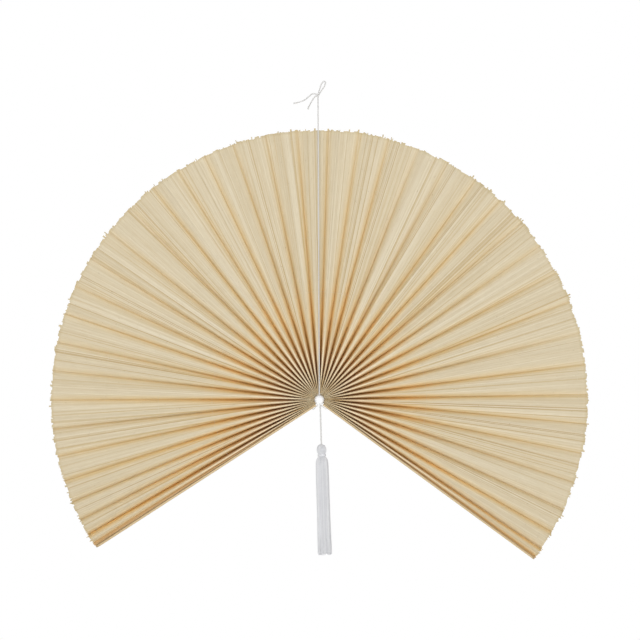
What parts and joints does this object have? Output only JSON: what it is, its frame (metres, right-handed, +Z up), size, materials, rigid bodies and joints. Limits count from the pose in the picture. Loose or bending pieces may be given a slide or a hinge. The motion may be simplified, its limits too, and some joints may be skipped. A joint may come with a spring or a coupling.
{
  "type": "bamboo wall fan",
  "caption": "Pleated bamboo-slat wall fan spread about a beaded hub between two end laths, hung by a knotted cord loop, with a cotton tassel below; it folds shut about the hub.",
  "frame": {"origin": "seat of the nail, under the crown of the hanging loop", "axes": "+X right along the wall seen from the room, +Y into the wall, +Z up"},
  "size_m": [1.0003, 0.0452, 0.8888],
  "materials": {
    "bamboo_mat": "bare split-bamboo slats, matt, tan streaks",
    "bamboo_lath": "planed bamboo lath, satin, fine grain",
    "bead_metal": "polished",
    "cotton_cord": "twisted off-white cotton",
    "tassel_yarn": "loose pale grey cotton strands"
  },
  "bodies": {
    "hub": {"hub_bead": "bead_metal", "lacing_cord": "cotton_cord", "hanging_cord": "cotton_cord", "cord_knot": "cotton_cord", "hanging_loop": "cotton_cord", "cord_tail_long": "cotton_cord", "cord_tail_short": "cotton_cord", "pleat_21": "bamboo_mat"},
    "pleat_01_panel": {"pleat_01": "bamboo_mat"},
    "pleat_02_panel": {"pleat_02": "bamboo_mat"},
    "pleat_03_panel": {"pleat_03": "bamboo_mat"},
    "pleat_04_panel": {"pleat_04": "bamboo_mat"},
    "pleat_05_panel": {"pleat_05": "bamboo_mat"},
    "pleat_06_panel": {"pleat_06": "bamboo_mat"},
    "pleat_07_panel": {"pleat_07": "bamboo_mat"},
    "pleat_08_panel": {"pleat_08": "bamboo_mat"},
    "pleat_09_panel": {"pleat_09": "bamboo_mat"},
    "pleat_10_panel": {"pleat_10": "bamboo_mat"},
    "pleat_11_panel": {"pleat_11": "bamboo_mat"},
    "pleat_12_panel": {"pleat_12": "bamboo_mat"},
    "pleat_13_panel": {"pleat_13": "bamboo_mat"},
    "pleat_14_panel": {"pleat_14": "bamboo_mat"},
    "pleat_15_panel": {"pleat_15": "bamboo_mat"},
    "pleat_16_panel": {"pleat_16": "bamboo_mat"},
    "pleat_17_panel": {"pleat_17": "bamboo_mat"},
    "pleat_18_panel": {"pleat_18": "bamboo_mat"},
    "pleat_19_panel": {"pleat_19": "bamboo_mat"},
    "pleat_20_panel": {"pleat_20": "bamboo_mat"},
    "pleat_22_panel": {"pleat_22": "bamboo_mat"},
    "pleat_23_panel": {"pleat_23": "bamboo_mat"},
    "pleat_24_panel": {"pleat_24": "bamboo_mat"},
    "pleat_25_panel": {"pleat_25": "bamboo_mat"},
    "pleat_26_panel": {"pleat_26": "bamboo_mat"},
    "pleat_27_panel": {"pleat_27": "bamboo_mat"},
    "pleat_28_panel": {"pleat_28": "bamboo_mat"},
    "pleat_29_panel": {"pleat_29": "bamboo_mat"},
    "pleat_30_panel": {"pleat_30": "bamboo_mat"},
    "pleat_31_panel": {"pleat_31": "bamboo_mat"},
    "pleat_32_panel": {"pleat_32": "bamboo_mat"},
    "pleat_33_panel": {"pleat_33": "bamboo_mat"},
    "pleat_34_panel": {"pleat_34": "bamboo_mat"},
    "pleat_35_panel": {"pleat_35": "bamboo_mat"},
    "pleat_36_panel": {"pleat_36": "bamboo_mat"},
    "pleat_37_panel": {"pleat_37": "bamboo_mat"},
    "pleat_38_panel": {"pleat_38": "bamboo_mat"},
    "pleat_39_panel": {"pleat_39": "bamboo_mat"},
    "pleat_40_panel": {"pleat_40": "bamboo_mat"},
    "pleat_41_panel": {"pleat_41": "bamboo_mat"},
    "right_guard": {"guard_right": "bamboo_lath"},
    "left_guard": {"guard_left": "bamboo_lath"},
    "tassel": {"tassel_cord": "cotton_cord", "tassel_head": "tassel_yarn", "tassel_neck": "tassel_yarn", "tassel_skirt": "tassel_yarn"}
  },
  "joints": [
    {"name": "fan_fold", "type": "hinge", "parent": "hub", "child": "right_guard", "pos_m": [-0.00974, 0.01672, -0.5899], "axis": [0, -1, 0], "range_deg": [0, 121.63], "deforming": ["pleat_21"]},
    {"name": "left_guard_fold", "type": "hinge", "parent": "hub", "child": "left_guard", "pos_m": [-0.00974, 0.01672, -0.5899], "axis": [0, 1, 0], "range_deg": [0, 115.57]},
    {"name": "pleat_01_fold", "type": "hinge", "parent": "hub", "child": "pleat_01_panel", "pos_m": [-0.00974, 0.01672, -0.5899], "axis": [0, 1, 0], "range_deg": [0, 114.5], "deforming": ["pleat_01"]},
    {"name": "pleat_02_fold", "type": "hinge", "parent": "hub", "child": "pleat_02_panel", "pos_m": [-0.00974, 0.01672, -0.5899], "axis": [0, 1, 0], "range_deg": [0, 111.82], "deforming": ["pleat_02"]},
    {"name": "pleat_03_fold", "type": "hinge", "parent": "hub", "child": "pleat_03_panel", "pos_m": [-0.00974, 0.01672, -0.5899], "axis": [0, 1, 0], "range_deg": [0, 108.25], "deforming": ["pleat_03"]},
    {"name": "pleat_04_fold", "type": "hinge", "parent": "hub", "child": "pleat_04_panel", "pos_m": [-0.00974, 0.01672, -0.5899], "axis": [0, 1, 0], "range_deg": [0, 104.03], "deforming": ["pleat_04"]},
    {"name": "pleat_05_fold", "type": "hinge", "parent": "hub", "child": "pleat_05_panel", "pos_m": [-0.00974, 0.01672, -0.5899], "axis": [0, 1, 0], "range_deg": [0, 99.22], "deforming": ["pleat_05"]},
    {"name": "pleat_06_fold", "type": "hinge", "parent": "hub", "child": "pleat_06_panel", "pos_m": [-0.00974, 0.01672, -0.5899], "axis": [0, 1, 0], "range_deg": [0, 93.83], "deforming": ["pleat_06"]},
    {"name": "pleat_07_fold", "type": "hinge", "parent": "hub", "child": "pleat_07_panel", "pos_m": [-0.00974, 0.01672, -0.5899], "axis": [0, 1, 0], "range_deg": [0, 88.01], "deforming": ["pleat_07"]},
    {"name": "pleat_08_fold", "type": "hinge", "parent": "hub", "child": "pleat_08_panel", "pos_m": [-0.00974, 0.01672, -0.5899], "axis": [0, 1, 0], "range_deg": [0, 82.02], "deforming": ["pleat_08"]},
    {"name": "pleat_09_fold", "type": "hinge", "parent": "hub", "child": "pleat_09_panel", "pos_m": [-0.00974, 0.01672, -0.5899], "axis": [0, 1, 0], "range_deg": [0, 76.07], "deforming": ["pleat_09"]},
    {"name": "pleat_10_fold", "type": "hinge", "parent": "hub", "child": "pleat_10_panel", "pos_m": [-0.00974, 0.01672, -0.5899], "axis": [0, 1, 0], "range_deg": [0, 70.17], "deforming": ["pleat_10"]},
    {"name": "pleat_11_fold", "type": "hinge", "parent": "hub", "child": "pleat_11_panel", "pos_m": [-0.00974, 0.01672, -0.5899], "axis": [0, 1, 0], "range_deg": [0, 64.16], "deforming": ["pleat_11"]},
    {"name": "pleat_12_fold", "type": "hinge", "parent": "hub", "child": "pleat_12_panel", "pos_m": [-0.00974, 0.01672, -0.5899], "axis": [0, 1, 0], "range_deg": [0, 57.89], "deforming": ["pleat_12"]},
    {"name": "pleat_13_fold", "type": "hinge", "parent": "hub", "child": "pleat_13_panel", "pos_m": [-0.00974, 0.01672, -0.5899], "axis": [0, 1, 0], "range_deg": [0, 51.39], "deforming": ["pleat_13"]},
    {"name": "pleat_14_fold", "type": "hinge", "parent": "hub", "child": "pleat_14_panel", "pos_m": [-0.00974, 0.01672, -0.5899], "axis": [0, 1, 0], "range_deg": [0, 44.84], "deforming": ["pleat_14"]},
    {"name": "pleat_15_fold", "type": "hinge", "parent": "hub", "child": "pleat_15_panel", "pos_m": [-0.00974, 0.01672, -0.5899], "axis": [0, 1, 0], "range_deg": [0, 38.46], "deforming": ["pleat_15"]},
    {"name": "pleat_16_fold", "type": "hinge", "parent": "hub", "child": "pleat_16_panel", "pos_m": [-0.00974, 0.01672, -0.5899], "axis": [0, 1, 0], "range_deg": [0, 32.26], "deforming": ["pleat_16"]},
    {"name": "pleat_17_fold", "type": "hinge", "parent": "hub", "child": "pleat_17_panel", "pos_m": [-0.00974, 0.01672, -0.5899], "axis": [0, 1, 0], "range_deg": [0, 26.08], "deforming": ["pleat_17"]},
    {"name": "pleat_18_fold", "type": "hinge", "parent": "hub", "child": "pleat_18_panel", "pos_m": [-0.00974, 0.01672, -0.5899], "axis": [0, 1, 0], "range_deg": [0, 19.74], "deforming": ["pleat_18"]},
    {"name": "pleat_19_fold", "type": "hinge", "parent": "hub", "child": "pleat_19_panel", "pos_m": [-0.00974, 0.01672, -0.5899], "axis": [0, 1, 0], "range_deg": [0, 13.16], "deforming": ["pleat_19"]},
    {"name": "pleat_20_fold", "type": "hinge", "parent": "hub", "child": "pleat_20_panel", "pos_m": [-0.00974, 0.01672, -0.5899], "axis": [0, 1, 0], "range_deg": [0, 6.51], "deforming": ["pleat_20"]},
    {"name": "pleat_22_fold", "type": "hinge", "parent": "hub", "child": "pleat_22_panel", "pos_m": [-0.00974, 0.01672, -0.5899], "axis": [0, -1, 0], "range_deg": [0, 6.29], "deforming": ["pleat_22"]},
    {"name": "pleat_23_fold", "type": "hinge", "parent": "hub", "child": "pleat_23_panel", "pos_m": [-0.00974, 0.01672, -0.5899], "axis": [0, -1, 0], "range_deg": [0, 12.48], "deforming": ["pleat_23"]},
    {"name": "pleat_24_fold", "type": "hinge", "parent": "hub", "child": "pleat_24_panel", "pos_m": [-0.00974, 0.01672, -0.5899], "axis": [0, -1, 0], "range_deg": [0, 18.79], "deforming": ["pleat_24"]},
    {"name": "pleat_25_fold", "type": "hinge", "parent": "hub", "child": "pleat_25_panel", "pos_m": [-0.00974, 0.01672, -0.5899], "axis": [0, -1, 0], "range_deg": [0, 25.33], "deforming": ["pleat_25"]},
    {"name": "pleat_26_fold", "type": "hinge", "parent": "hub", "child": "pleat_26_panel", "pos_m": [-0.00974, 0.01672, -0.5899], "axis": [0, -1, 0], "range_deg": [0, 31.99], "deforming": ["pleat_26"]},
    {"name": "pleat_27_fold", "type": "hinge", "parent": "hub", "child": "pleat_27_panel", "pos_m": [-0.00974, 0.01672, -0.5899], "axis": [0, -1, 0], "range_deg": [0, 38.57], "deforming": ["pleat_27"]},
    {"name": "pleat_28_fold", "type": "hinge", "parent": "hub", "child": "pleat_28_panel", "pos_m": [-0.00974, 0.01672, -0.5899], "axis": [0, -1, 0], "range_deg": [0, 44.93], "deforming": ["pleat_28"]},
    {"name": "pleat_29_fold", "type": "hinge", "parent": "hub", "child": "pleat_29_panel", "pos_m": [-0.00974, 0.01672, -0.5899], "axis": [0, -1, 0], "range_deg": [0, 51.13], "deforming": ["pleat_29"]},
    {"name": "pleat_30_fold", "type": "hinge", "parent": "hub", "child": "pleat_30_panel", "pos_m": [-0.00974, 0.01672, -0.5899], "axis": [0, -1, 0], "range_deg": [0, 57.38], "deforming": ["pleat_30"]},
    {"name": "pleat_31_fold", "type": "hinge", "parent": "hub", "child": "pleat_31_panel", "pos_m": [-0.00974, 0.01672, -0.5899], "axis": [0, -1, 0], "range_deg": [0, 63.85], "deforming": ["pleat_31"]},
    {"name": "pleat_32_fold", "type": "hinge", "parent": "hub", "child": "pleat_32_panel", "pos_m": [-0.00974, 0.01672, -0.5899], "axis": [0, -1, 0], "range_deg": [0, 70.48], "deforming": ["pleat_32"]},
    {"name": "pleat_33_fold", "type": "hinge", "parent": "hub", "child": "pleat_33_panel", "pos_m": [-0.00974, 0.01672, -0.5899], "axis": [0, -1, 0], "range_deg": [0, 77.07], "deforming": ["pleat_33"]},
    {"name": "pleat_34_fold", "type": "hinge", "parent": "hub", "child": "pleat_34_panel", "pos_m": [-0.00974, 0.01672, -0.5899], "axis": [0, -1, 0], "range_deg": [0, 83.43], "deforming": ["pleat_34"]},
    {"name": "pleat_35_fold", "type": "hinge", "parent": "hub", "child": "pleat_35_panel", "pos_m": [-0.00974, 0.01672, -0.5899], "axis": [0, -1, 0], "range_deg": [0, 89.55], "deforming": ["pleat_35"]},
    {"name": "pleat_36_fold", "type": "hinge", "parent": "hub", "child": "pleat_36_panel", "pos_m": [-0.00974, 0.01672, -0.5899], "axis": [0, -1, 0], "range_deg": [0, 95.58], "deforming": ["pleat_36"]},
    {"name": "pleat_37_fold", "type": "hinge", "parent": "hub", "child": "pleat_37_panel", "pos_m": [-0.00974, 0.01672, -0.5899], "axis": [0, -1, 0], "range_deg": [0, 101.64], "deforming": ["pleat_37"]},
    {"name": "pleat_38_fold", "type": "hinge", "parent": "hub", "child": "pleat_38_panel", "pos_m": [-0.00974, 0.01672, -0.5899], "axis": [0, -1, 0], "range_deg": [0, 107.62], "deforming": ["pleat_38"]},
    {"name": "pleat_39_fold", "type": "hinge", "parent": "hub", "child": "pleat_39_panel", "pos_m": [-0.00974, 0.01672, -0.5899], "axis": [0, -1, 0], "range_deg": [0, 113.15], "deforming": ["pleat_39"]},
    {"name": "pleat_40_fold", "type": "hinge", "parent": "hub", "child": "pleat_40_panel", "pos_m": [-0.00974, 0.01672, -0.5899], "axis": [0, -1, 0], "range_deg": [0, 117.7], "deforming": ["pleat_40"]},
    {"name": "pleat_41_fold", "type": "hinge", "parent": "hub", "child": "pleat_41_panel", "pos_m": [-0.00974, 0.01672, -0.5899], "axis": [0, -1, 0], "range_deg": [0, 120.65], "deforming": ["pleat_41"]},
    {"name": "tassel_swing", "type": "hinge", "parent": "hub", "child": "tassel", "pos_m": [-0.00804, 0, -0.6018], "axis": [0, 1, 0], "range_deg": [-40, 40]}
  ],
  "couplings": [
    {"joint": "left_guard_fold", "follows": "fan_fold", "ratio": 0.95019},
    {"joint": "pleat_01_fold", "follows": "fan_fold", "ratio": 0.9414},
    {"joint": "pleat_02_fold", "follows": "fan_fold", "ratio": 0.91937},
    {"joint": "pleat_03_fold", "follows": "fan_fold", "ratio": 0.88999},
    {"joint": "pleat_04_fold", "follows": "fan_fold", "ratio": 0.85532},
    {"joint": "pleat_05_fold", "follows": "fan_fold", "ratio": 0.81576},
    {"joint": "pleat_06_fold", "follows": "fan_fold", "ratio": 0.77145},
    {"joint": "pleat_07_fold", "follows": "fan_fold", "ratio": 0.72361},
    {"joint": "pleat_08_fold", "follows": "fan_fold", "ratio": 0.67435},
    {"joint": "pleat_09_fold", "follows": "fan_fold", "ratio": 0.62541},
    {"joint": "pleat_10_fold", "follows": "fan_fold", "ratio": 0.5769},
    {"joint": "pleat_11_fold", "follows": "fan_fold", "ratio": 0.5275},
    {"joint": "pleat_12_fold", "follows": "fan_fold", "ratio": 0.47598},
    {"joint": "pleat_13_fold", "follows": "fan_fold", "ratio": 0.42251},
    {"joint": "pleat_14_fold", "follows": "fan_fold", "ratio": 0.36868},
    {"joint": "pleat_15_fold", "follows": "fan_fold", "ratio": 0.31616},
    {"joint": "pleat_16_fold", "follows": "fan_fold", "ratio": 0.26519},
    {"joint": "pleat_17_fold", "follows": "fan_fold", "ratio": 0.21444},
    {"joint": "pleat_18_fold", "follows": "fan_fold", "ratio": 0.16226},
    {"joint": "pleat_19_fold", "follows": "fan_fold", "ratio": 0.10821},
    {"joint": "pleat_20_fold", "follows": "fan_fold", "ratio": 0.053539},
    {"joint": "pleat_22_fold", "follows": "fan_fold", "ratio": 0.051714},
    {"joint": "pleat_23_fold", "follows": "fan_fold", "ratio": 0.10261},
    {"joint": "pleat_24_fold", "follows": "fan_fold", "ratio": 0.15448},
    {"joint": "pleat_25_fold", "follows": "fan_fold", "ratio": 0.20822},
    {"joint": "pleat_26_fold", "follows": "fan_fold", "ratio": 0.26303},
    {"joint": "pleat_27_fold", "follows": "fan_fold", "ratio": 0.31711},
    {"joint": "pleat_28_fold", "follows": "fan_fold", "ratio": 0.36937},
    {"joint": "pleat_29_fold", "follows": "fan_fold", "ratio": 0.42034},
    {"joint": "pleat_30_fold", "follows": "fan_fold", "ratio": 0.47177},
    {"joint": "pleat_31_fold", "follows": "fan_fold", "ratio": 0.52492},
    {"joint": "pleat_32_fold", "follows": "fan_fold", "ratio": 0.57944},
    {"joint": "pleat_33_fold", "follows": "fan_fold", "ratio": 0.63362},
    {"joint": "pleat_34_fold", "follows": "fan_fold", "ratio": 0.68591},
    {"joint": "pleat_35_fold", "follows": "fan_fold", "ratio": 0.73624},
    {"joint": "pleat_36_fold", "follows": "fan_fold", "ratio": 0.78583},
    {"joint": "pleat_37_fold", "follows": "fan_fold", "ratio": 0.83566},
    {"joint": "pleat_38_fold", "follows": "fan_fold", "ratio": 0.88485},
    {"joint": "pleat_39_fold", "follows": "fan_fold", "ratio": 0.93032},
    {"joint": "pleat_40_fold", "follows": "fan_fold", "ratio": 0.96772},
    {"joint": "pleat_41_fold", "follows": "fan_fold", "ratio": 0.99191}
  ]
}
